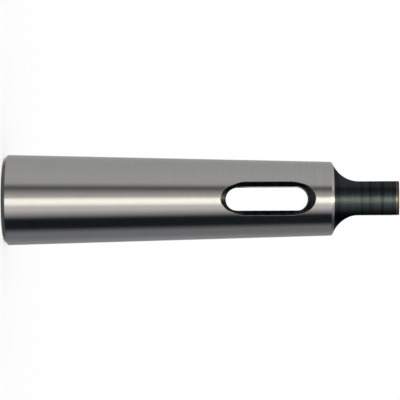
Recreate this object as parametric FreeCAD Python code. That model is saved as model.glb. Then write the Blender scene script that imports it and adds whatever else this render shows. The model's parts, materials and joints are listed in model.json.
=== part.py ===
"""Reduction sleeve for drill shanks, turned, milled and ground from one piece of steel.

The outside is a Morse taper 4 with a tang. The inside is a Morse taper 3 socket. A slot runs
through the wall above the socket, so that a flat wedge can push the tool back out.

Sizes are in mm. Z is the sleeve's axis: the large end face lies on z = 0 and the tang points up.
The slot runs along Y, and the flats of the tang face X.
"""
import math
import os

import FreeCAD
import Part

Vector = FreeCAD.Vector

# Whole sleeve
TOTAL_LENGTH = 140.0

# Outside taper, Morse 4
OUTER_GAUGE_DIAMETER = 31.267
OUTER_GAUGE_HEIGHT = 22.5          # the gauge plane above the large end face
OUTER_TAPER_RATIO = 19.254         # mm of length for each mm of diameter
LARGE_CHAMFER_HEIGHT = 1.4
LARGE_CHAMFER_WIDTH = 1.2
LARGE_EDGE_ROUND = 0.4             # softens both edges of the large end's chamfer
SMALL_CHAMFER_HEIGHT = 0.9

# Tang
TANG_ZONE_LENGTH = 22.8            # from the end of the taper to the end of the tang
TANG_DIAMETER = 25.2
TANG_THICKNESS = 11.9
TANG_FLAT_LENGTH = 14.2
TANG_CUTTER_RADIUS = 9.4
TANG_END_CHAMFER = 1.0

# Centre hole in the tang's end
CENTRE_PILOT_DIAMETER = 3.15
CENTRE_PILOT_LENGTH = 2.9
CENTRE_MOUTH_DIAMETER = 6.7
CENTRE_ANGLE = 60.0                # full angle of a lathe centre, which also seats in the socket's mouth

# Socket, Morse 3
SOCKET_GAUGE_DIAMETER = 23.825     # at the large end face
SOCKET_TAPER_RATIO = 19.922
SOCKET_MOUTH_CHAMFER = 0.6
SOCKET_RELIEF_LENGTH = 11.9        # the straight bore behind the taper, as wide as its small end
SOCKET_RELIEF_OVERLAP = 5.1        # how much of that bore lies beside the slot
DRILL_POINT_ANGLE = 118.0

# Slot for the wedge
SLOT_LENGTH = 29.6
SLOT_WIDTH = 8.4
SLOT_TO_TAPER_END = 8.75           # solid taper left between the slot and the tang

# Bevel round the slot's mouth, cut by a countersink that follows the slot and sinks along its sides
BEVEL_ANGLE = 90.0
BEVEL_SOCKET_END_WIDTH = 1.65
BEVEL_SIDE_WIDTH = 1.7
BEVEL_TANG_END_WIDTH = 2.2
BEVEL_SOCKET_RAMP = 3.2            # the way along the slot in which the countersink sinks
BEVEL_TANG_RAMP = 2.0              # and in which it rises again

# Heights that follow from the sizes above
TAPER_END = TOTAL_LENGTH - TANG_ZONE_LENGTH
SLOT_END = TAPER_END - SLOT_TO_TAPER_END
SLOT_START = SLOT_END - SLOT_LENGTH


def outer_radius(height):
    """Radius of the outside taper at a height above the large end face."""
    return (OUTER_GAUGE_DIAMETER - (height - OUTER_GAUGE_HEIGHT) / OUTER_TAPER_RATIO) / 2


def socket_radius(height):
    """Radius of the socket's taper at a height above the large end face."""
    return (SOCKET_GAUGE_DIAMETER - height / SOCKET_TAPER_RATIO) / 2


def cone_height(radius, full_angle):
    """Height of a cone with this base radius and full angle."""
    return radius / math.tan(math.radians(full_angle / 2))


def outside_points():
    """Radius and height of each corner of the turned outside, from the large end to the tang."""
    edge = outer_radius(LARGE_CHAMFER_HEIGHT)
    chamfer_start = TAPER_END - SMALL_CHAMFER_HEIGHT
    tang = TANG_DIAMETER / 2
    return [
        (edge - LARGE_CHAMFER_WIDTH, 0),
        (edge, LARGE_CHAMFER_HEIGHT),
        (outer_radius(chamfer_start), chamfer_start),
        (tang, TAPER_END),
        (tang, TOTAL_LENGTH - TANG_END_CHAMFER),
        (tang - TANG_END_CHAMFER, TOTAL_LENGTH),
    ]


def centre_hole_points():
    """The centre hole, from its mouth in the tang's end down to the point of its pilot."""
    mouth = CENTRE_MOUTH_DIAMETER / 2
    pilot = CENTRE_PILOT_DIAMETER / 2
    cone_bottom = TOTAL_LENGTH - cone_height(mouth - pilot, CENTRE_ANGLE)
    pilot_bottom = cone_bottom - CENTRE_PILOT_LENGTH
    return [
        (mouth, TOTAL_LENGTH),
        (pilot, cone_bottom),
        (pilot, pilot_bottom),
        (0, pilot_bottom - cone_height(pilot, DRILL_POINT_ANGLE)),
    ]


def socket_points():
    """The socket, from the point of the drilled bore down to the chamfered mouth."""
    relief_end = SLOT_START + SOCKET_RELIEF_OVERLAP
    relief_start = relief_end - SOCKET_RELIEF_LENGTH
    relief = socket_radius(relief_start)
    chamfer_end = cone_height(SOCKET_MOUTH_CHAMFER, CENTRE_ANGLE)
    return [
        (0, relief_end + cone_height(relief, DRILL_POINT_ANGLE)),
        (relief, relief_end),
        (relief, relief_start),
        (socket_radius(chamfer_end), chamfer_end),
        (socket_radius(chamfer_end) + SOCKET_MOUTH_CHAMFER, 0),
    ]


def corner_arc(before, corner, after, radius):
    """The arc that rounds a corner between two neighbours, tangent to both sides."""
    back = (before - corner).normalize()
    onward = (after - corner).normalize()
    half_angle = back.getAngle(onward) / 2
    reach = radius / math.tan(half_angle)
    inward = (back + onward).normalize()
    middle = corner + inward * (radius / math.sin(half_angle) - radius)
    return Part.Arc(corner + back * reach, middle, corner + onward * reach)


def turned_body():
    """Everything that is round, as one half section turned about the axis."""
    outline = outside_points() + centre_hole_points() + socket_points()
    corners = [Vector(radius, 0, height) for radius, height in outline]
    face_arc = corner_arc(corners[-1], corners[0], corners[1], LARGE_EDGE_ROUND)
    taper_arc = corner_arc(corners[0], corners[1], corners[2], LARGE_EDGE_ROUND)
    chamfer = Part.LineSegment(face_arc.EndPoint, taper_arc.StartPoint)
    rest = Part.makePolygon([taper_arc.EndPoint] + corners[2:] + [face_arc.StartPoint])
    section = Part.Wire([face_arc.toShape(), chamfer.toShape(), taper_arc.toShape()] + rest.Edges)
    return Part.Face(section).revolve(Vector(0, 0, 0), Vector(0, 0, 1), 360)


def tang_flat_cutter():
    """The path of a side cutter that mills one flat of the tang and runs out on its own radius."""
    side = -OUTER_GAUGE_DIAMETER
    flat = TANG_THICKNESS / 2
    outside = flat + TANG_CUTTER_RADIUS
    flat_start = TOTAL_LENGTH - TANG_FLAT_LENGTH
    top = TOTAL_LENGTH + TANG_CUTTER_RADIUS
    diagonal = TANG_CUTTER_RADIUS * math.sqrt(0.5)
    start = Vector(flat, side, flat_start)
    halfway = Vector(outside - diagonal, side, flat_start - diagonal)
    lowest = Vector(outside, side, flat_start - TANG_CUTTER_RADIUS)
    run_out = Part.Arc(start, halfway, lowest).toShape()
    straight = Part.makePolygon([lowest, Vector(outside, side, top), Vector(flat, side, top), start])
    profile = Part.Wire([run_out] + straight.Edges)
    return Part.Face(profile).extrude(Vector(0, -2 * side, 0))


def mill_tang(body):
    """Cut both flats, half a turn apart."""
    first = tang_flat_cutter()
    second = first.copy()
    second.rotate(Vector(0, 0, 0), Vector(0, 0, 1), 180)
    return body.cut([first, second])


def slot_cutter():
    """A long hole with full round ends, through the whole sleeve along Y."""
    side = -OUTER_GAUGE_DIAMETER
    end_radius = SLOT_WIDTH / 2
    low, high = SLOT_START + end_radius, SLOT_END - end_radius
    left_low, right_low = Vector(-end_radius, side, low), Vector(end_radius, side, low)
    left_high, right_high = Vector(-end_radius, side, high), Vector(end_radius, side, high)
    profile = Part.Wire([
        Part.Arc(left_low, Vector(0, side, SLOT_START), right_low).toShape(),
        Part.LineSegment(right_low, right_high).toShape(),
        Part.Arc(right_high, Vector(0, side, SLOT_END), left_high).toShape(),
        Part.LineSegment(left_high, left_low).toShape(),
    ])
    return Part.Face(profile).extrude(Vector(0, -2 * side, 0))


def countersink_path():
    """Place along Z and distance from the axis of the countersink's point, at each turn of its path."""
    slope = cone_height(1, BEVEL_ANGLE)
    end_radius = SLOT_WIDTH / 2
    socket_reach = end_radius + BEVEL_SOCKET_END_WIDTH
    tang_reach = end_radius + BEVEL_TANG_END_WIDTH
    side_reach = end_radius + BEVEL_SIDE_WIDTH
    first, last = SLOT_START + end_radius, SLOT_END - end_radius
    sunk, rising = first + BEVEL_SOCKET_RAMP, last - BEVEL_TANG_RAMP
    return [
        (first, outer_radius(first - socket_reach) - socket_reach * slope),
        (sunk, math.sqrt(outer_radius(sunk) ** 2 - side_reach ** 2) - side_reach * slope),
        (rising, math.sqrt(outer_radius(rising) ** 2 - side_reach ** 2) - side_reach * slope),
        (last, outer_radius(last + tang_reach) - tang_reach * slope),
    ]


def bevel_half_outline(path, distance, side):
    """One side of all that the countersink sweeps, in the plane at a distance from the axis.

    It cuts a circle at each turn of its path, and the circles' common tangents in between.
    """
    circles = [(place, (distance - point) / cone_height(1, BEVEL_ANGLE)) for place, point in path]
    steps = zip(circles, circles[1:])
    leans = [math.asin((near[1] - far[1]) / (far[0] - near[0])) for near, far in steps]
    turns = [-math.pi / 2] + leans + [math.pi / 2]
    edges = []
    previous = None
    for (place, radius), begin, end in zip(circles, turns, turns[1:]):
        arc = [
            Vector(side * radius * math.cos(angle), distance, place + radius * math.sin(angle))
            for angle in (begin, (begin + end) / 2, end)
        ]
        if previous:
            edges.append(Part.LineSegment(previous, arc[0]).toShape())
        edges.append(Part.Arc(*arc).toShape())
        previous = arc[2]
    return edges


def bevel_cutter():
    """The sweep of the countersink, from inside the slot to outside the sleeve."""
    path = countersink_path()
    inside = max(point for place, point in path) + BEVEL_SIDE_WIDTH
    outlines = []
    for distance in (inside, OUTER_GAUGE_DIAMETER / 2):
        right, left = (bevel_half_outline(path, distance, side) for side in (1, -1))
        outlines.append(Part.Wire(right + left[::-1]))
    return Part.makeLoft(outlines, True, True)


def bevel_slot(body):
    """Bevel the slot's mouth on both sides of the sleeve."""
    first = bevel_cutter()
    second = first.copy()
    second.rotate(Vector(0, 0, 0), Vector(0, 0, 1), 180)
    return body.cut([first, second])


def sleeve():
    """The finished sleeve."""
    body = mill_tang(turned_body())
    return bevel_slot(body.cut(slot_cutter()))


os.makedirs("parts", exist_ok=True)
sleeve().exportStep("parts/sleeve.step")
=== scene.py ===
# %% [markdown]
# A reduction sleeve for drills: a ground steel taper outside, a tapered socket inside, a slot for
# the wedge that knocks the tool out, and a tang. It stands on its large end face, with Z up along
# its axis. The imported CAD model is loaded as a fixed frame, and everything else is set around it.

# %% Load the frame
import json
import math

import bpy
import numpy as np
from mathutils import Matrix, Vector


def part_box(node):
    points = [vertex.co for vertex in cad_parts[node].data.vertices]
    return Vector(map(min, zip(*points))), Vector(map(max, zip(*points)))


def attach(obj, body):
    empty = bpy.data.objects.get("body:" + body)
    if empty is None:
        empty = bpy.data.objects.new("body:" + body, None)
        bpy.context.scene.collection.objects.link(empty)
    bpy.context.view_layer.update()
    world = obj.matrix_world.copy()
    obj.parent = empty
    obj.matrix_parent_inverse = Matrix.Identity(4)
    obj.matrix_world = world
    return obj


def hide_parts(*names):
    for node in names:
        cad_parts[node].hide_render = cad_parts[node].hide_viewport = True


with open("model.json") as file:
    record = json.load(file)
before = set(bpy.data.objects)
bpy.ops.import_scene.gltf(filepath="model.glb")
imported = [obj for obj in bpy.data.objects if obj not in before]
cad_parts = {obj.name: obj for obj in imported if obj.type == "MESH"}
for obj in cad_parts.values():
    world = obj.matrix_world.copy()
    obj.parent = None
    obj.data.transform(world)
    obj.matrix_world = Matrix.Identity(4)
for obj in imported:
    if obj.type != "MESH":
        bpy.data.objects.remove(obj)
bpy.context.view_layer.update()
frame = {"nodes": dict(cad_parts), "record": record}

MM = 0.001
sleeve = frame["nodes"]["sleeve"]

# %% [markdown]
# The camera looks at the sleeve from the side, square to the slot, a little under a metre away. It
# is rolled a quarter turn, so the standing sleeve lies across the picture with its tang to the
# right. The lens is long, because it has to fill the frame from that far: a short lens close by
# would make the near side of the slot look much larger than its far side.

# %% The camera
CAMERA_DISTANCE = 0.85
CAMERA_HEIGHT = 84.8 * MM
CAMERA_TURN = math.radians(0.7)
CAMERA_ROLL = math.radians(0.25)
AIM = Vector((0.27 * MM, 0, 69.76 * MM))
FRAME_WIDTH = 142.6 * MM
NEAREST_SEEN = 0.01

eye = Vector((math.sin(CAMERA_TURN), -math.cos(CAMERA_TURN), 0)) * CAMERA_DISTANCE
eye.z = CAMERA_HEIGHT
back = (eye - AIM).normalized()
level_right = (Vector((0, 0, 1)) - back * back.z).normalized()
level_up = back.cross(level_right)
right = level_right * math.cos(CAMERA_ROLL) - level_up * math.sin(CAMERA_ROLL)
up = level_right * math.sin(CAMERA_ROLL) + level_up * math.cos(CAMERA_ROLL)

camera = bpy.data.objects.new("camera", bpy.data.cameras.new("camera"))
bpy.context.scene.collection.objects.link(camera)
camera.matrix_world = Matrix.Translation(eye) @ Matrix((right, up, back)).transposed().to_4x4()
camera.data.lens = camera.data.sensor_width * (eye - AIM).length / FRAME_WIDTH
camera.data.clip_start = NEAREST_SEEN
bpy.context.scene.camera = camera
print("lens", round(camera.data.lens, 1), "mm")

# %% [markdown]
# Shader maths reads best as formulas. A Term holds one socket of a node tree, and the operators of
# Python add Math nodes to that tree, so 1 - mask is written as it is thought. Colours go through
# Mix and Vector Math nodes, because a Math node would turn them grey. Every node comes from one
# method, which sets the node's own settings first and then its sockets.

# %% Formulas for shaders
class Term:
    """One socket of a node tree, which can be added, multiplied and so on."""

    def __init__(self, tree, socket=None):
        self.tree = tree
        self.socket = socket

    def node(self, kind, settings=None, output=0, **sockets):
        """Add a node of a kind, give it its settings, then the values or links of its sockets."""
        made = self.tree.nodes.new("ShaderNode" + kind)
        for name, value in (settings or {}).items():
            if name == "stops":
                set_stops(made.color_ramp, value)
            else:
                setattr(made, name, value)
        for name, value in sockets.items():
            key = int(name[1:]) if name[0] == "_" else name.replace("_", " ")
            self.feed(made.inputs[key], value)
        return Term(self.tree, made.outputs[output] if made.outputs else None)

    def feed(self, socket, value):
        """Link a Term to a socket, or set the socket to a plain value."""
        if isinstance(value, Term):
            self.tree.links.new(value.socket, socket)
        else:
            socket.default_value = value

    def output(self, name):
        """Another output of the same node."""
        return Term(self.tree, self.socket.node.outputs[name])

    def math(self, operation, *values):
        """A Math node on plain numbers and Terms."""
        numbered = {f"_{place}": value for place, value in enumerate(values)}
        return self.node("Math", {"operation": operation}, **numbered)

    def soft_step(self, low, high):
        """A soft step from 0 to 1 while this number goes from low to high."""
        smooth = {"interpolation_type": "SMOOTHSTEP"}
        return self.node("MapRange", smooth, Value=self, From_Min=low, From_Max=high)

    def mix(self, first, second):
        """The first colour where this number is 0, the second where it is 1."""
        return self.node("Mix", {"data_type": "RGBA"}, output=2, _0=self, _6=first, _7=second)

    def shade(self, colour):
        """A colour, each channel multiplied by this number."""
        return self.node("VectorMath", {"operation": "SCALE"}, Vector=colour, Scale=self)

    def scaled(self, amount):
        """This colour or vector, each channel multiplied by a number."""
        return self.node("VectorMath", {"operation": "SCALE"}, Vector=self, Scale=amount)

    def times(self, other):
        """This colour or vector, each channel multiplied by that of another."""
        return self.node("VectorMath", {"operation": "MULTIPLY"}, _0=self, _1=other)

    def __add__(self, other): return self.math("ADD", self, other)
    def __sub__(self, other): return self.math("SUBTRACT", self, other)
    def __mul__(self, other): return self.math("MULTIPLY", self, other)
    def __truediv__(self, other): return self.math("DIVIDE", self, other)
    def __rsub__(self, other): return self.math("SUBTRACT", other, self)
    def __rtruediv__(self, other): return self.math("DIVIDE", other, self)
    __radd__ = __add__
    __rmul__ = __mul__


def set_stops(ramp, stops):
    """Give a colour ramp its stops: place along the ramp, then colour."""
    while len(ramp.elements) > 1:
        ramp.elements.remove(ramp.elements[-1])
    for place, colour in stops[1:]:
        ramp.elements.new(place).color = (*colour, 1)
    ramp.elements[0].position, ramp.elements[0].color = stops[0][0], (*stops[0][1], 1)


def clear_tree(owner):
    """Start the node tree of a world or material afresh."""
    owner.use_nodes = True
    owner.node_tree.nodes.clear()
    return Term(owner.node_tree)


# %% [markdown]
# Ground steel is a blurred mirror, so it shows what stands round it more than its own colour: a
# bright strip where a lamp is, a black one where a card keeps the light off. Lamps and cards could
# be modelled as planes. Here they are a list round the compass, which is easy to read and to move:
# each has the angles where it starts and ends and its colour as the steel shows it, and the light
# fades evenly from one to the next. The steel turns through half the angle that the mirrored
# direction does, so 90 degrees here lie 45 degrees round the sleeve from the side that faces the
# camera.

# %% Lamps and cards
def srgb(*values):
    """Colour on screen, from 0 to 255, as the linear numbers that a shader needs."""
    shares = np.array(values) / 255
    return np.where(shares <= 0.04045, shares / 12.92, ((shares + 0.055) / 1.055) ** 2.4)


LAMPS_AND_CARDS = [
    (-163, -120, srgb(139, 139, 138)),    # far part of the upper grey wall
    (-70, -44, srgb(146, 145, 142)),      # its near part
    (-32, -29, srgb(68, 68, 66)),         # shaded gap
    (-12, -6, srgb(149, 147, 143)),       # grey reflector beside the lamp
    (-1, 10, srgb(242, 239, 227)),        # warm lamp
    (18, 27, srgb(176, 172, 172)),        # white card
    (51, 79, srgb(5, 12, 16)),            # black card
    (97, 115, srgb(100, 101, 103)),       # near part of the lower grey wall
    (140, 163, srgb(118, 118, 119)),      # its far part
]
BACKDROP = srgb(250, 250, 250)
REFLECTANCE = 0.57                        # share of the light that the steel gives back
edges = [(angle, colour) for start, end, colour in LAMPS_AND_CARDS for angle in (start, end)]
edges = [(-180, BACKDROP), *edges, (180, BACKDROP)]
ring = [(angle / 360 + 0.5, tuple(colour / REFLECTANCE)) for angle, colour in edges]
print(len(LAMPS_AND_CARDS), "lamps and cards in", len(ring), "stops")

# %% [markdown]
# The ring would light the steel but tint everything else, so only mirrored rays see it, and all
# others meet plain white. The lamps stand lower than the sleeve is long: what is mirrored from
# steeply above or below is harder or dimmer, which the chamfers and the bevel show. Straight up and
# down the ring would shrink to a point, so plain caps close it there.

# %% The studio
HARDER_FROM, HARDER_FULL = math.radians(18), math.radians(42)
CAP_FROM, CAP_FULL = math.radians(50), math.radians(72)
HARDER, DIMMER = 5, 0.35
TOP_CAP, FLOOR_CAP = (0.6, 0.6, 0.6, 1), (0.12, 0.12, 0.12, 1)
WHITE = (1, 1, 1, 1)

world = bpy.data.worlds.new("studio")
bpy.context.scene.world = world
sky = clear_tree(world)
direction = sky.node("SeparateXYZ", Vector=sky.node("TexCoord", output="Generated"))
east, north, rise = (direction.output(axis) for axis in "XYZ")
azimuth = sky.math("ARCTAN2", east, 0 - north) / math.tau + 0.5
bands = sky.node("ValToRGB", {"stops": ring}, Fac=azimuth)
steep = sky.math("ABSOLUTE", rise)
overhead = sky.math("GREATER_THAN", rise, 0)
slanting = steep.soft_step(math.sin(HARDER_FROM), math.sin(HARDER_FULL))
upright = steep.soft_step(math.sin(CAP_FROM), math.sin(CAP_FULL))
above = bands.times(bands).times(bands).scaled(HARDER)
sides = slanting.mix(bands, overhead.mix(bands.scaled(DIMMER), above))
mirrored_light = upright.mix(sides, overhead.mix(FLOOR_CAP, TOP_CAP))
light = sky.node("LightPath", output="Is Glossy Ray").mix(WHITE, mirrored_light)
sky.node("OutputWorld", Surface=sky.node("Background", Color=light, Strength=1))
bpy.context.scene.view_settings.view_transform = "Standard"
print("studio of", len(world.node_tree.nodes), "nodes")

# %% [markdown]
# The floor is a white table top that keeps the sleeve's soft shadow. A matt white floor alone looks
# grey beside the backdrop, so for the camera a part of it glows white. A far larger sheet would
# do as well, but the steel mirrors the ring and not the floor, so a small disc is enough.

# %% The floor
FLOOR_RADIUS, FLOOR_CORNERS = 0.3, 96
FLOOR_WHITE = (0.98, 0.98, 0.98, 1)
FLOOR_GLOW = 0.65


def disc(radius, corners):
    """A flat disc as one face. Its corners are (r cos t, r sin t, 0), with t evenly round."""
    angles = np.linspace(0, math.tau, corners, endpoint=False)
    rim = np.stack([radius * np.cos(angles), radius * np.sin(angles), 0 * angles], axis=1)
    mesh = bpy.data.meshes.new("floor")
    mesh.from_pydata(rim.tolist(), [], [list(range(corners))])
    return mesh


floor = bpy.data.objects.new("floor", disc(FLOOR_RADIUS, FLOOR_CORNERS))
bpy.context.scene.collection.objects.link(floor)
floor.visible_glossy = False
paint = bpy.data.materials.new("floor_paint")
ground = clear_tree(paint)
matt = ground.node("BsdfDiffuse", Color=FLOOR_WHITE)
glow = ground.node("Emission", Color=WHITE, Strength=1)
seen = ground.node("LightPath", output="Is Camera Ray")
ground.node("OutputMaterial", Surface=ground.node("MixShader", _0=seen * FLOOR_GLOW, _1=matt, _2=glow))
floor.data.materials.append(paint)
print("floor", 2 * FLOOR_RADIUS, "m wide")

# %% [markdown]
# The outside is ground: the sleeve turns while the wheel rubs along it, which leaves fine lines
# round the axis. They could be bump, but at this size they would only sparkle. Anisotropic
# reflection does what the lines do: it draws highlights out along the sleeve and keeps them sharp
# round it. On top, noise stretched round the axis gives the faint lines their look, stronger
# towards the tang, and slow clouds of noise keep the long faces from looking like paint.

# %% Two kinds of steel share these
def metal(name, roughness, anisotropic):
    """A bare metal whose polish runs round the sleeve, and the Term to build its colour with."""
    made = bpy.data.materials.new(name)
    made.use_nodes = True
    shader = made.node_tree.nodes["Principled BSDF"]
    shader.inputs["Metallic"].default_value = 1
    shader.inputs["Roughness"].default_value = roughness
    shader.inputs["Anisotropic"].default_value = anisotropic
    shader.inputs["Anisotropic Rotation"].default_value = 0.25
    print("material", name)
    return made, shader, Term(made.node_tree)


def noise(place, changes, detail):
    """Noise from 0 to 1, with this many changes in a metre along X, Y and Z."""
    return place.node("TexNoise", Vector=place.times(changes), Scale=1, Detail=detail)


# %% Ground steel
STEEL_COLOUR = (0.57, 0.568, 0.567)
LINES, CLOUDS = (60, 60, 1800), (90, 90, 90)
LINE_DEPTH, LINE_DEPTH_NEAR_TANG, CLOUD_DEPTH = 0.06, 0.12, 0.08
NEAR_TANG = (70 * MM, 116 * MM)

steel, shader, term = metal("ground_steel", 0.2, 0.75)
spot = term.node("TexCoord", output="Object")
near_tang = term.node("SeparateXYZ", Vector=spot).output("Z").soft_step(*NEAR_TANG)
lines = (noise(spot, LINES, 3) - 0.5) * (LINE_DEPTH + LINE_DEPTH_NEAR_TANG * near_tang)
clouds = (noise(spot, CLOUDS, 3) - 0.5) * CLOUD_DEPTH
term.feed(shader.inputs["Base Color"], (1 + lines + clouds).shade(STEEL_COLOUR))
sleeve.material_slots[0].material = steel

# %% [markdown]
# The tang, the slot and its bevel are black: after hardening they keep a thin oxide, and the wheel
# never reaches them. It could be a dark paint, but oxide is still metal with the turning marks under
# it, so it is a dark metal with two sizes of rings. The very end is a warmer brown, and the edge
# before it is rubbed bare along a thin line.

# %% Black oxide
OXIDE, BROWN, BARE = (0.044, 0.056, 0.062, 1), (0.085, 0.062, 0.045, 1), (0.4, 0.38, 0.34, 1)
COARSE_RINGS, FINE_RINGS = (25, 25, 520), (40, 40, 2400)
COARSE_DEPTH, FINE_DEPTH = 1.6, 1.1
RUBBED_FROM, RUBBED_TO = (138.8 * MM, 138.95 * MM), (139.15 * MM, 139.3 * MM)
BROWN_FROM = (139.2 * MM, 139.4 * MM)
RUBBED_SHARE = 0.5
EDGE_SHEEN = (0.15, 0.15, 0.15, 1)        # metal shines white at a grazing angle, and oxide hardly does

black, shader, term = metal("black_oxide", 0.38, 0.95)
spot = term.node("TexCoord", output="Object")
along = term.node("SeparateXYZ", Vector=spot).output("Z")
coarse = (noise(spot, COARSE_RINGS, 2) - 0.5) * COARSE_DEPTH
fine = (noise(spot, FINE_RINGS, 2) - 0.5) * FINE_DEPTH
rubbed = along.soft_step(*RUBBED_FROM) - along.soft_step(*RUBBED_TO)
skin_colour = (rubbed * RUBBED_SHARE).mix(along.soft_step(*BROWN_FROM).mix(OXIDE, BROWN), BARE)
term.feed(shader.inputs["Base Color"], (1 + coarse + fine).shade(skin_colour))
shader.inputs["Specular Tint"].default_value = EDGE_SHEEN

# %% [markdown]
# The CAD mesh has the right shape, but it is coarse and its edges are knife sharp, which polished
# metal gives away at once. The sleeve that shows is therefore a finer surface of the same sizes. It
# could be cut with booleans, but those leave slivers that spoil reflections. Every face here is a
# simple surface, so each is worked out as a grid of points, and neighbours share their border.
# The sleeve is alike in all four quarters, so one quarter is made and mirrored.

# %% Sizes in mm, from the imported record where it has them
mounts = {mount["name"]: mount for mount in frame["record"]["mounts"]}
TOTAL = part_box("sleeve")[1].z / MM
GAUGE_RADIUS = mounts["outer_taper"]["dims"]["r_mm"]
GAUGE_HEIGHT = mounts["outer_taper"]["pos_m"][2] / MM
OUTER_SLOPE = 1 / (2 * 19.254)
TAPER_END = 117.2
SMALL_CHAMFER = 0.9
LARGE_CHAMFER_HEIGHT, LARGE_CHAMFER_WIDTH, LARGE_EDGE = 1.4, 1.2, 0.4
SOCKET_RADIUS = mounts["socket"]["dims"]["r_mm"]
SOCKET_SLOPE = 1 / (2 * 19.922)
MOUTH_CHAMFER = 0.6
RELIEF_END, RELIEF_LENGTH = 83.95, mounts["socket_relief"]["dims"]["length_mm"]
TANG_RADIUS, TANG_HALF = 12.6, mounts["tang_flat_a"]["pos_m"][0] / MM
FLAT_START, CUTTER_RADIUS, END_CHAMFER = 125.8, 9.4, 1.0
CENTRE_MOUTH, PILOT_RADIUS, PILOT_LENGTH = mounts["centre_hole"]["dims"]["r_mm"], 1.575, 2.9
CENTRE_SPREAD = math.tan(math.radians(30))
DRILL_HALF_ANGLE = math.radians(59)
SLOT_HALF, SLOT_LENGTH = 4.2, 29.6
SLOT_MIDDLE = mounts["drift_slot"]["pos_m"][2] / MM
BEVELS = {"socket": 1.65, "side": 1.7, "tang": 2.2}
RAMPS = {"socket": 3.2, "tang": 2.0}
EDGE = 0.13                               # how far each sharp edge is rounded over


def outer_radius(height):
    """Radius of the outside taper at a height."""
    return GAUGE_RADIUS - (height - GAUGE_HEIGHT) * OUTER_SLOPE


def socket_radius(height):
    """Radius of the socket's taper at a height."""
    return SOCKET_RADIUS - height * SOCKET_SLOPE


RELIEF_START = RELIEF_END - RELIEF_LENGTH
RELIEF_RADIUS = socket_radius(RELIEF_START)
DRILL_SPREAD = math.tan(DRILL_HALF_ANGLE)
DRILL_MEETS_WALL = RELIEF_END + (RELIEF_RADIUS - SLOT_HALF) / DRILL_SPREAD
print("taper", round(outer_radius(0) * 2, 3), "to", round(outer_radius(TAPER_END) * 2, 3), "mm wide")

# %% [markdown]
# A Skin gathers grids of points into one mesh. It splits each cell into two triangles, turns each
# the way its points face, mirrors everything into the other three quarters and welds points that
# fall together. The exact facing direction of each point goes along as the mesh's own normals, so
# reflections run true even where the triangles are long.

# %% Helpers for the skin
WELD = 2e-4                               # mm within which points are one
WELD_SHIFT = 0.37                         # keeps whole numbers of WELD off the border of two cells
QUARTERS = np.array([(1, 1, 1), (-1, 1, 1), (1, -1, 1), (-1, -1, 1)])


def unit(vectors):
    """Vectors divided by their length."""
    return vectors / np.linalg.norm(vectors, axis=-1, keepdims=True)


def mirrored(quarter):
    """The vectors of one quarter, then the same with x, y and both turned over."""
    return np.concatenate([quarter * signs for signs in QUARTERS])


def weld(points):
    """The first point in each cell of a fine lattice, and the cell that each point falls in."""
    cells = np.floor(points / WELD + WELD_SHIFT).astype(np.int64)
    _, first, spots = np.unique(cells, axis=0, return_index=True, return_inverse=True)
    return first, spots.reshape(-1)


def turned_out(faces, points, normals):
    """Triangles, their corners turned round where (b - a) x (c - a) points against the normals."""
    a, b, c = (points[faces[:, corner]] for corner in range(3))
    turned_in = (np.cross(b - a, c - a) * normals[faces].sum(axis=1)).sum(axis=1) < 0
    return np.where(turned_in[:, None], faces[:, ::-1], faces)


def open_edges(corners):
    """How many edges don't belong to exactly two triangles."""
    pairs = np.concatenate([corners[:, [0, 1]], corners[:, [1, 2]], corners[:, [2, 0]]])
    uses = np.unique(np.sort(pairs, axis=1), axis=0, return_counts=True)[1]
    return int((uses != 2).sum())


# %% The skin
class Skin:
    """Grids of points and facing directions, which become one closed mesh."""

    def __init__(self):
        self.points, self.facing, self.faces, self.finish = [], [], [], []
        self.count = 0

    def add(self, points, facing, finish):
        """Keep a grid of points, the directions they face and the number of their finish."""
        points, facing = np.broadcast_arrays(points, facing)
        rows, columns = points.shape[:2]
        corner = self.count + np.arange(rows * columns).reshape(rows, columns)
        a, b, c, d = corner[:-1, :-1], corner[1:, :-1], corner[1:, 1:], corner[:-1, 1:]
        halves = [np.stack(half, -1).reshape(-1, 3) for half in ((a, b, c), (a, c, d))]
        self.faces.append(np.concatenate(halves))
        self.points.append(points.reshape(-1, 3))
        self.facing.append(unit(facing.reshape(-1, 3)))
        self.finish.append(np.full(2 * a.size, finish))
        self.count += rows * columns

    def mesh(self, name, materials):
        """Mirror the quarter, weld it and give the mesh its normals and finishes."""
        points, normals = (mirrored(np.concatenate(part)) for part in (self.points, self.facing))
        quarter = np.concatenate(self.faces)
        faces = np.concatenate([quarter + number * self.count for number in range(len(QUARTERS))])
        first, spots = weld(points)
        corners = spots[faces]
        whole = (corners != np.roll(corners, 1, axis=1)).all(axis=1)
        faces = turned_out(faces[whole], points, normals)
        finish = np.tile(np.concatenate(self.finish), len(QUARTERS))[whole]
        mesh = bpy.data.meshes.new(name)
        mesh.from_pydata(points[first] * MM, [], spots[faces], shade_flat=False)
        mesh.normals_split_custom_set(normals[faces].reshape(-1, 3))
        for material in materials:
            mesh.materials.append(material)
        mesh.polygons.foreach_set("material_index", finish.astype(np.int32))
        print(name, "has", len(faces), "triangles and", open_edges(spots[faces]), "open edges")
        return mesh

    def report(self, piece):
        """Say how far the quarter has come."""
        print(piece, "done:", self.count, "points in the quarter")


skin = Skin()
GROUND, BLACK = 0, 1

# %% [markdown]
# Most of the sleeve is turned, so most grids are a profile swung round the axis. A profile is a few
# corners, each with a rounding, and one function walks along it and keeps the air on its right.

# %% Turned faces
COLUMNS = 48                              # columns of a quarter turn
ROUNDING_ROWS = 6
SHARE = np.linspace(0, 1, COLUMNS + 1)
QUARTER = SHARE * math.pi / 2


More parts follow.
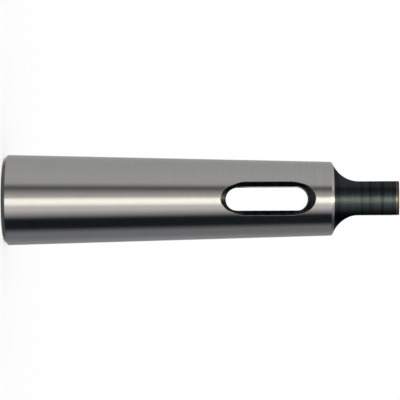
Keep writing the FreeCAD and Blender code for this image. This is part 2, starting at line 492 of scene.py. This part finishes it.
def turned(radius, height, lean, angles):
    """A profile turned about Z. A point is (r sin t, -r cos t, h), and it leans up from level."""
    radius, height, lean = (np.asarray(values)[:, None] for values in (radius, height, lean))
    sine, cosine, level = np.sin(angles), np.cos(angles), 0 * angles
    points = (radius * sine, -radius * cosine, height + level)
    facing = (np.cos(lean) * sine, -np.cos(lean) * cosine, np.sin(lean) + level)
    return tuple(np.stack(np.broadcast_arrays(*parts), axis=-1) for parts in (points, facing))


def profile(*corners):
    """Runs of a turned profile, from its corners as (radius, height, rounding).

    The walk keeps the air on its right. A corner with no rounding ends a run, so each run is
    smooth. A run is radii, heights and leans. A rounding of radius e starts e tan(turn / 2) before
    its corner, and its points are centre + e (cos lean, sin lean).
    """
    places = np.array([corner[:2] for corner in corners], float)
    steps = unit(np.diff(places, axis=0))
    leans = np.unwrap(np.arctan2(-steps[:, 0], steps[:, 1]))
    runs, run = [], [(*places[0], leans[0])]
    roundings = [corner[2] for corner in corners[1:-1]]
    for place, step, before, after, rounding in zip(places[1:], steps, leans, leans[1:], roundings):
        if rounding == 0:
            runs.append(np.array(run + [(*place, before)]).T)
            run = [(*place, after)]
            continue
        side = math.copysign(rounding, after - before)
        start = place - step * rounding * math.tan(abs(after - before) / 2)
        centre = start - side * np.array([math.cos(before), math.sin(before)])
        sweep = np.linspace(before, after, ROUNDING_ROWS)
        arc = centre + side * np.stack([np.cos(sweep), np.sin(sweep)], axis=1)
        run += [(*spot, lean) for spot, lean in zip(arc, sweep)]
    runs.append(np.array(run + [(*places[-1], leans[-1])]).T)
    return runs


def with_rows(run, heights):
    """A run whose heights only rise, with rows added at more heights."""
    every = np.union1d(run[1], heights)
    return np.array([np.interp(every, run[1], run[0]), every, np.interp(every, run[1], run[2])])


# %% [markdown]
# Real edges are never quite sharp, and the thin light line along them is what shows that metal is
# hard. A Bevel modifier could round them, but it would move points away from the exact surfaces, so
# the rounding is a strip of its own between two lines of points.

# %% Strips between two lines of points
EDGE_STEPS = 4


def over_edge(start, edge, end, facing_start, facing_end):
    """Round an edge over: a point is (1-u)^2 start + 2u(1-u) edge + u^2 end, with u across the edge."""
    across = np.linspace(0, 1, EDGE_STEPS + 1)[:, None]
    start, edge, end, facing_start, facing_end = (
        part[:, None] for part in (start, edge, end, facing_start, facing_end))
    points = (1 - across) ** 2 * start + 2 * across * (1 - across) * edge + across ** 2 * end
    return points, (1 - across) * facing_start + across * facing_end


def ruled(start, end, steps):
    """Straight rows from one line of points to another: a point is (1-u) start + u end."""
    across = np.linspace(0, 1, steps + 1)[:, None]
    return start[:, None] * (1 - across) + end[:, None] * across


# %% [markdown]
# The bevel round the slot is what a countersink leaves that follows the slot and sinks along its
# sides, so that the bevel stays even on the round wall. At each place of its path the cutter
# touches the bevel along one straight line through its point. Those lines are the columns here:
# each has a place along Z, a depth of the cutter's point and an angle round the cutter. The angle
# turns at four places of the path, and between them the place moves on, so there are seven
# stretches with a number of lines each.

# %% The countersink's path
LINES_PER_STRETCH = (26, 5, 6, 12, 6, 4, 28)

slot_low, slot_high = (SLOT_MIDDLE + side * (SLOT_LENGTH / 2 - SLOT_HALF) for side in (-1, 1))
reach = {name: SLOT_HALF + width for name, width in BEVELS.items()}
side_places = np.array([slot_low + RAMPS["socket"], slot_high - RAMPS["tang"]])
path_places = np.array([slot_low, *side_places, slot_high])
path_depths = np.array([
    outer_radius(slot_low - reach["socket"]) - reach["socket"],
    *np.sqrt(outer_radius(side_places) ** 2 - reach["side"] ** 2) - reach["side"],
    outer_radius(slot_high + reach["tang"]) - reach["tang"],
])
path_leans = np.arcsin(np.diff(path_depths) / np.diff(path_places))
path_turns = np.array([-math.pi / 2, *path_leans, math.pi / 2])
knots = np.arange(2 * len(path_places))
stretches = [np.linspace(low, low + 1, count + 1) for low, count in zip(knots, LINES_PER_STRETCH)]
lines = np.unique(np.concatenate(stretches))
place = np.interp(lines, knots, np.repeat(path_places, 2))
depth = np.interp(lines, knots, np.repeat(path_depths, 2))
angle = np.interp(lines, knots, np.repeat(path_turns, 2)[1:-1])
print(len(lines), "lines of the bevel; the cutter's point lies", path_depths.round(2), "mm from the axis")

# %% Where each line meets the slot and the taper
NEARLY_UPRIGHT = 1.5                      # radians, to keep the tangent finite


def slot_half_width(height):
    """Half the slot's width at a height: straight sides between two round ends."""
    beyond = np.maximum(slot_low - height, height - slot_high).clip(0, SLOT_HALF)
    return np.sqrt(SLOT_HALF ** 2 - beyond ** 2)


def meets_wall(place, angle):
    """Height at which a line from the slot's middle at a place and angle meets the slot's wall.

    On the straight side it is place + half width x tan(angle). On a round end it is place + l
    sin(angle), where the line of length l ends on the circle.
    """
    straight = place + SLOT_HALF * np.tan(angle.clip(-NEARLY_UPRIGHT, NEARLY_UPRIGHT))
    away = place - np.where(angle < 0, slot_low, slot_high)
    chord = np.sqrt((SLOT_HALF ** 2 - (away * np.cos(angle)) ** 2).clip(0))
    inside = (straight >= slot_low) & (straight <= slot_high)
    return np.where(inside, straight, place + (chord - away * np.sin(angle)) * np.sin(angle))


on_wall = meets_wall(place, angle)
rows = np.union1d(on_wall, [RELIEF_END, DRILL_MEETS_WALL])
place, depth, angle = (np.interp(rows, on_wall, values) for values in (place, depth, angle))
half_width = slot_half_width(rows)
slant = np.stack([np.cos(angle), 0 * angle - 1, np.sin(angle)], axis=1)
bevel_facing = -unit(slant * (1, -1, 1))
foot = np.stack([half_width, -depth - np.hypot(half_width, rows - place), rows], axis=1)

# a line of length l leaves the taper where (l cos a)^2 + (l + depth)^2 = R(place + l sin a)^2
square = np.cos(angle) ** 2 + 1 - (OUTER_SLOPE * np.sin(angle)) ** 2
linear = depth + outer_radius(place) * OUTER_SLOPE * np.sin(angle)
free = depth ** 2 - outer_radius(place) ** 2
length = (np.sqrt(linear ** 2 - square * free) - linear) / square
head = np.stack([0 * place, -depth, place], axis=1) + slant * length[:, None]
print("bevel from", round(np.ptp(foot[:, 2]), 2), "to", round(np.ptp(head[:, 2]), 2), "mm long")

# %% [markdown]
# The slot's face is built outwards in: a rounded rim, the bevel, a rounded edge and the wall, down
# to the bore behind the socket or to the middle of the sleeve. The rim starts a little way into the
# taper, measured on the taper unrolled flat, square to the bevel's outline. The oxide reaches over
# most of the rim, because the wheel only wipes its outer edge.

# %% The rim
BEVEL_STEPS, WALL_STEPS = 4, 6

unrolled = np.stack([outer_radius(head[:, 2]) * np.arctan2(head[:, 0], -head[:, 1]), head[:, 2]], axis=1)
onward = unit(np.gradient(unrolled, axis=0))
onward[0], onward[-1] = (1, 0), (-1, 0)
rim = unrolled + EDGE * np.stack([onward[:, 1], -onward[:, 0]], axis=1)
rim_angle = (rim[:, 0] / outer_radius(rim[:, 1])).clip(0)
rim_angle[[0, -1]] = 0
taper_lean = math.atan(OUTER_SLOPE)
rim_turned = turned(outer_radius(rim[:, 1]), rim[:, 1], 0 * rim[:, 1] + taper_lean, rim_angle[:, None])
rim_points, rim_facing = (part[:, 0] for part in rim_turned)
below_rim = head - EDGE * unit(slant)
points, facing = over_edge(rim_points, head, below_rim, rim_facing, bevel_facing)
skin.add(points[:, :2], facing[:, :2], GROUND)
skin.add(points[:, 1:], facing[:, 1:], BLACK)
skin.report("rim")

# %% The bevel and the wall
above_wall = foot + EDGE * unit(slant)
into_slot = foot + (0, EDGE, 0)
beyond = (np.maximum(slot_low - rows, 0) - np.maximum(rows - slot_high, 0)) / SLOT_HALF
wall_facing = -np.stack([half_width / SLOT_HALF, 0 * rows, -beyond], axis=1)
drilled = RELIEF_RADIUS - (rows - RELIEF_END).clip(0) * DRILL_SPREAD
open_bore = rows <= DRILL_MEETS_WALL
wall_depth = np.where(open_bore, -np.sqrt((drilled ** 2 - half_width ** 2).clip(0)), 0)
wall_end = np.stack([half_width, wall_depth, rows], axis=1)
skin.add(ruled(below_rim, above_wall, BEVEL_STEPS), bevel_facing[:, None], BLACK)
skin.add(*over_edge(above_wall, foot, into_slot, bevel_facing, wall_facing), BLACK)
skin.add(ruled(into_slot, wall_end, WALL_STEPS), wall_facing[:, None], BLACK)
skin.report("slot")

# %% [markdown]
# The taper is one turned face with the slot's rim for one border. A hole could be cut in a plain
# cone, but then its triangles would cross the grinding lines. Here each row starts at the rim, or at
# the middle of the front where there is no slot, and ends a quarter turn on.

# %% The taper round the slot
TAPER_START, TAPER_TOP = 2.2, 115.2       # plain stretches at both ends belong to the end profiles
LOWER_ROWS, UPPER_ROWS = 14, 5

lower = np.linspace(TAPER_START, rim[0, 1], LOWER_ROWS)[:-1]
upper = np.linspace(rim[-1, 1], TAPER_TOP, UPPER_ROWS)[1:]
taper_rows = np.concatenate([lower, rim[:, 1], upper])
first_angle = np.concatenate([0 * lower, rim_angle, 0 * upper])[:, None]
taper_angles = first_angle + SHARE * (math.pi / 2 - first_angle)
skin.add(*turned(outer_radius(taper_rows), taper_rows, 0 * taper_rows + taper_lean, taper_angles), GROUND)
skin.report("taper")

# %% [markdown]
# The large end is the face that the sleeve stands on, with a chamfer outside and a small one at the
# socket's mouth, which also seats a lathe centre. Inside, the ground socket narrows up to a plain
# drilled bore. That bore ends in the drill's cone, beside the slot that breaks into it.

# %% The large end and the socket
SOCKET_START, SOCKET_ROWS = 2.2, 14

edge_radius = outer_radius(LARGE_CHAMFER_HEIGHT)
mouth_top = MOUTH_CHAMFER / CENTRE_SPREAD
large_end = profile(
    (socket_radius(SOCKET_START), SOCKET_START, 0),
    (socket_radius(mouth_top), mouth_top, EDGE),
    (socket_radius(mouth_top) + MOUTH_CHAMFER, 0, EDGE),
    (edge_radius - LARGE_CHAMFER_WIDTH, 0, LARGE_EDGE),
    (edge_radius, LARGE_CHAMFER_HEIGHT, LARGE_EDGE),
    (outer_radius(TAPER_START), TAPER_START, 0),
)[0]
skin.add(*turned(*large_end, QUARTER), GROUND)
socket_rows = np.linspace(SOCKET_START, RELIEF_START, SOCKET_ROWS)
socket_lean = math.pi + math.atan(SOCKET_SLOPE)
skin.add(*turned(socket_radius(socket_rows), socket_rows, 0 * socket_rows + socket_lean, QUARTER), GROUND)
skin.report("large end and socket")

# %% The drilled bore behind the socket
BORE_ROWS = 4


def beside_slot(radius, heights):
    """Angles from the slot's wall to a quarter turn: the wall is at arcsin(half width / radius)."""
    start = np.arcsin((slot_half_width(heights) / radius).clip(0, 1)) * (heights > rows[0])
    return start[:, None] + SHARE * (math.pi / 2 - start[:, None])


bore_rows = np.concatenate([np.linspace(RELIEF_START, rows[0], BORE_ROWS)[:-1], rows[rows <= RELIEF_END]])
bore_radius = 0 * bore_rows + RELIEF_RADIUS
bore_lean = 0 * bore_rows + math.pi
skin.add(*turned(bore_radius, bore_rows, bore_lean, beside_slot(bore_radius, bore_rows)), BLACK)
point_rows = rows[(rows >= RELIEF_END) & open_bore]
point_radius = RELIEF_RADIUS - (point_rows - RELIEF_END) * DRILL_SPREAD
point_lean = 0 * point_rows - math.pi + DRILL_HALF_ANGLE
skin.add(*turned(point_radius, point_rows, point_lean, beside_slot(point_radius, point_rows)), BLACK)
skin.report("bore")

# %% [markdown]
# The tang is a turned end with two flats, milled by a cutter that leaves its own radius where it
# runs out into the chamfer. It could be a boolean of a cylinder and two boxes. Here every row at one
# height is an arc, a rounded edge and a straight line across the flat, and the run-out follows from
# how far the cutter's circle has left the flat at that height.

# %% Rows of the tang
FLAT_COLUMNS = 10
cutter_centre = TANG_HALF + CUTTER_RADIUS


def flat_at(height):
    """Distance of the flat from the axis at a height, and how far it leans up from level.

    Below its start the flat is the cutter's circle, centre - sqrt(R^2 - below^2). At the very end
    it is rounded over by a circle of radius EDGE.
    """
    below = (FLAT_START - height).clip(0, CUTTER_RADIUS)
    above = (height - (TOTAL - EDGE)).clip(0, EDGE)
    side = np.sqrt(CUTTER_RADIUS ** 2 - below ** 2)
    inset = EDGE - np.sqrt(EDGE ** 2 - above ** 2)
    return cutter_centre - side - inset, np.arctan2(below, side) + np.arcsin(above / EDGE)


def tang_rows(radius, height, lean):
    """Columns of the tang: round the turned part, over its edge and across the flat."""
    flat, flat_lean = flat_at(height)
    flat = np.minimum(flat, radius)
    chord = np.sqrt(radius ** 2 - flat ** 2)
    blend = np.minimum(EDGE, chord / 4)
    stop = np.arcsin(flat / radius) - blend / radius
    points, facing = turned(radius, height, lean, stop[:, None] * SHARE)
    corner = np.stack([flat, -chord, height], axis=1)
    flat_facing = np.stack([np.cos(flat_lean), 0 * height, np.sin(flat_lean)], axis=1)
    start = np.stack([flat, blend - chord, height], axis=1)
    middle = np.stack([flat, 0 * flat, height], axis=1)
    over = over_edge(points[:, -1], corner, start, facing[:, -1], flat_facing)
    across = ruled(start, middle, FLAT_COLUMNS)
    return (points, facing), over, (across, flat_facing[:, None] + 0 * across)


# %% The tang
CUTTER_LOW = 116.72                       # where the cutter's circle first meets the small chamfer
CHAMFER_ROWS, RUN_OUT_ROWS, FLAT_ROWS, END_ROWS = 8, 25, 8, 6

small_end = profile(
    (outer_radius(TAPER_TOP), TAPER_TOP, 0),
    (outer_radius(TAPER_END - SMALL_CHAMFER), TAPER_END - SMALL_CHAMFER, EDGE),
    (TANG_RADIUS, TAPER_END, 0),
    (TANG_RADIUS, TOTAL - END_CHAMFER, EDGE),
    (TANG_RADIUS - END_CHAMFER, TOTAL, EDGE),
    (CENTRE_MOUTH, TOTAL, 0),
)
chamfer_rows = CUTTER_LOW + (TAPER_END - CUTTER_LOW) * np.linspace(0, 1, CHAMFER_ROWS) ** 2
run_out_turn = math.asin((FLAT_START - TAPER_END) / CUTTER_RADIUS)
run_out_rows = FLAT_START - CUTTER_RADIUS * np.sin(np.linspace(0, 1, RUN_OUT_ROWS) * run_out_turn)
flat_rows = np.linspace(FLAT_START, TOTAL - END_CHAMFER, FLAT_ROWS)
end_rows = TOTAL - EDGE * (1 - np.sin(np.linspace(0, 1, END_ROWS) * math.pi / 2))
chamfer_parts = tang_rows(*with_rows(small_end[0], chamfer_rows))
tang_heights = np.concatenate([run_out_rows, flat_rows, end_rows])
tang_parts = tang_rows(*with_rows(small_end[1][:, :-1], tang_heights))
skin.add(*chamfer_parts[0], GROUND)
for part in (*chamfer_parts[1:], *tang_parts):
    skin.add(*part, BLACK)
skin.report("tang")

# %% [markdown]
# The sleeve was turned and ground between centres, so the tang's end has a centre hole: a cone of 60
# degrees for the lathe's centre and a pilot that clears its tip. The end face runs from the tang's
# outline to the hole, and both use the same angles, so their points fall together.

# %% The tang's end face and centre hole
FACE_STEPS = 6

outline = np.concatenate([tang_parts[0][0][-1], tang_parts[1][0][-1][1:], tang_parts[2][0][-1][1:]])
outline_angles = np.arctan2(outline[:, 0], -outline[:, 1])
pilot_top = TOTAL - (CENTRE_MOUTH - PILOT_RADIUS) / CENTRE_SPREAD
pilot_low = pilot_top - PILOT_LENGTH
hole = profile(
    (CENTRE_MOUTH + 1, TOTAL, 0),
    (CENTRE_MOUTH, TOTAL, EDGE),
    (PILOT_RADIUS, pilot_top, EDGE),
    (PILOT_RADIUS, pilot_low, 0),
    (0, pilot_low - PILOT_RADIUS / DRILL_SPREAD, 0),
)
for run in hole:
    skin.add(*turned(*run, outline_angles), BLACK)
hole_rim = turned(*hole[0][:, :1], outline_angles)[0][0]
skin.add(ruled(outline, hole_rim, FACE_STEPS), np.array((0, 0, 1.0)), BLACK)
skin.report("end face and centre hole")

# %% [markdown]
# The skin becomes one mesh with two finishes. It rides on the sleeve's only body and is shown in
# place of the CAD node, which is hidden.

# %% The sleeve
body = bpy.data.objects.new("sleeve_skin", skin.mesh("sleeve_skin", [steel, black]))
bpy.context.scene.collection.objects.link(body)
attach(body, "root")
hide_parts("sleeve")
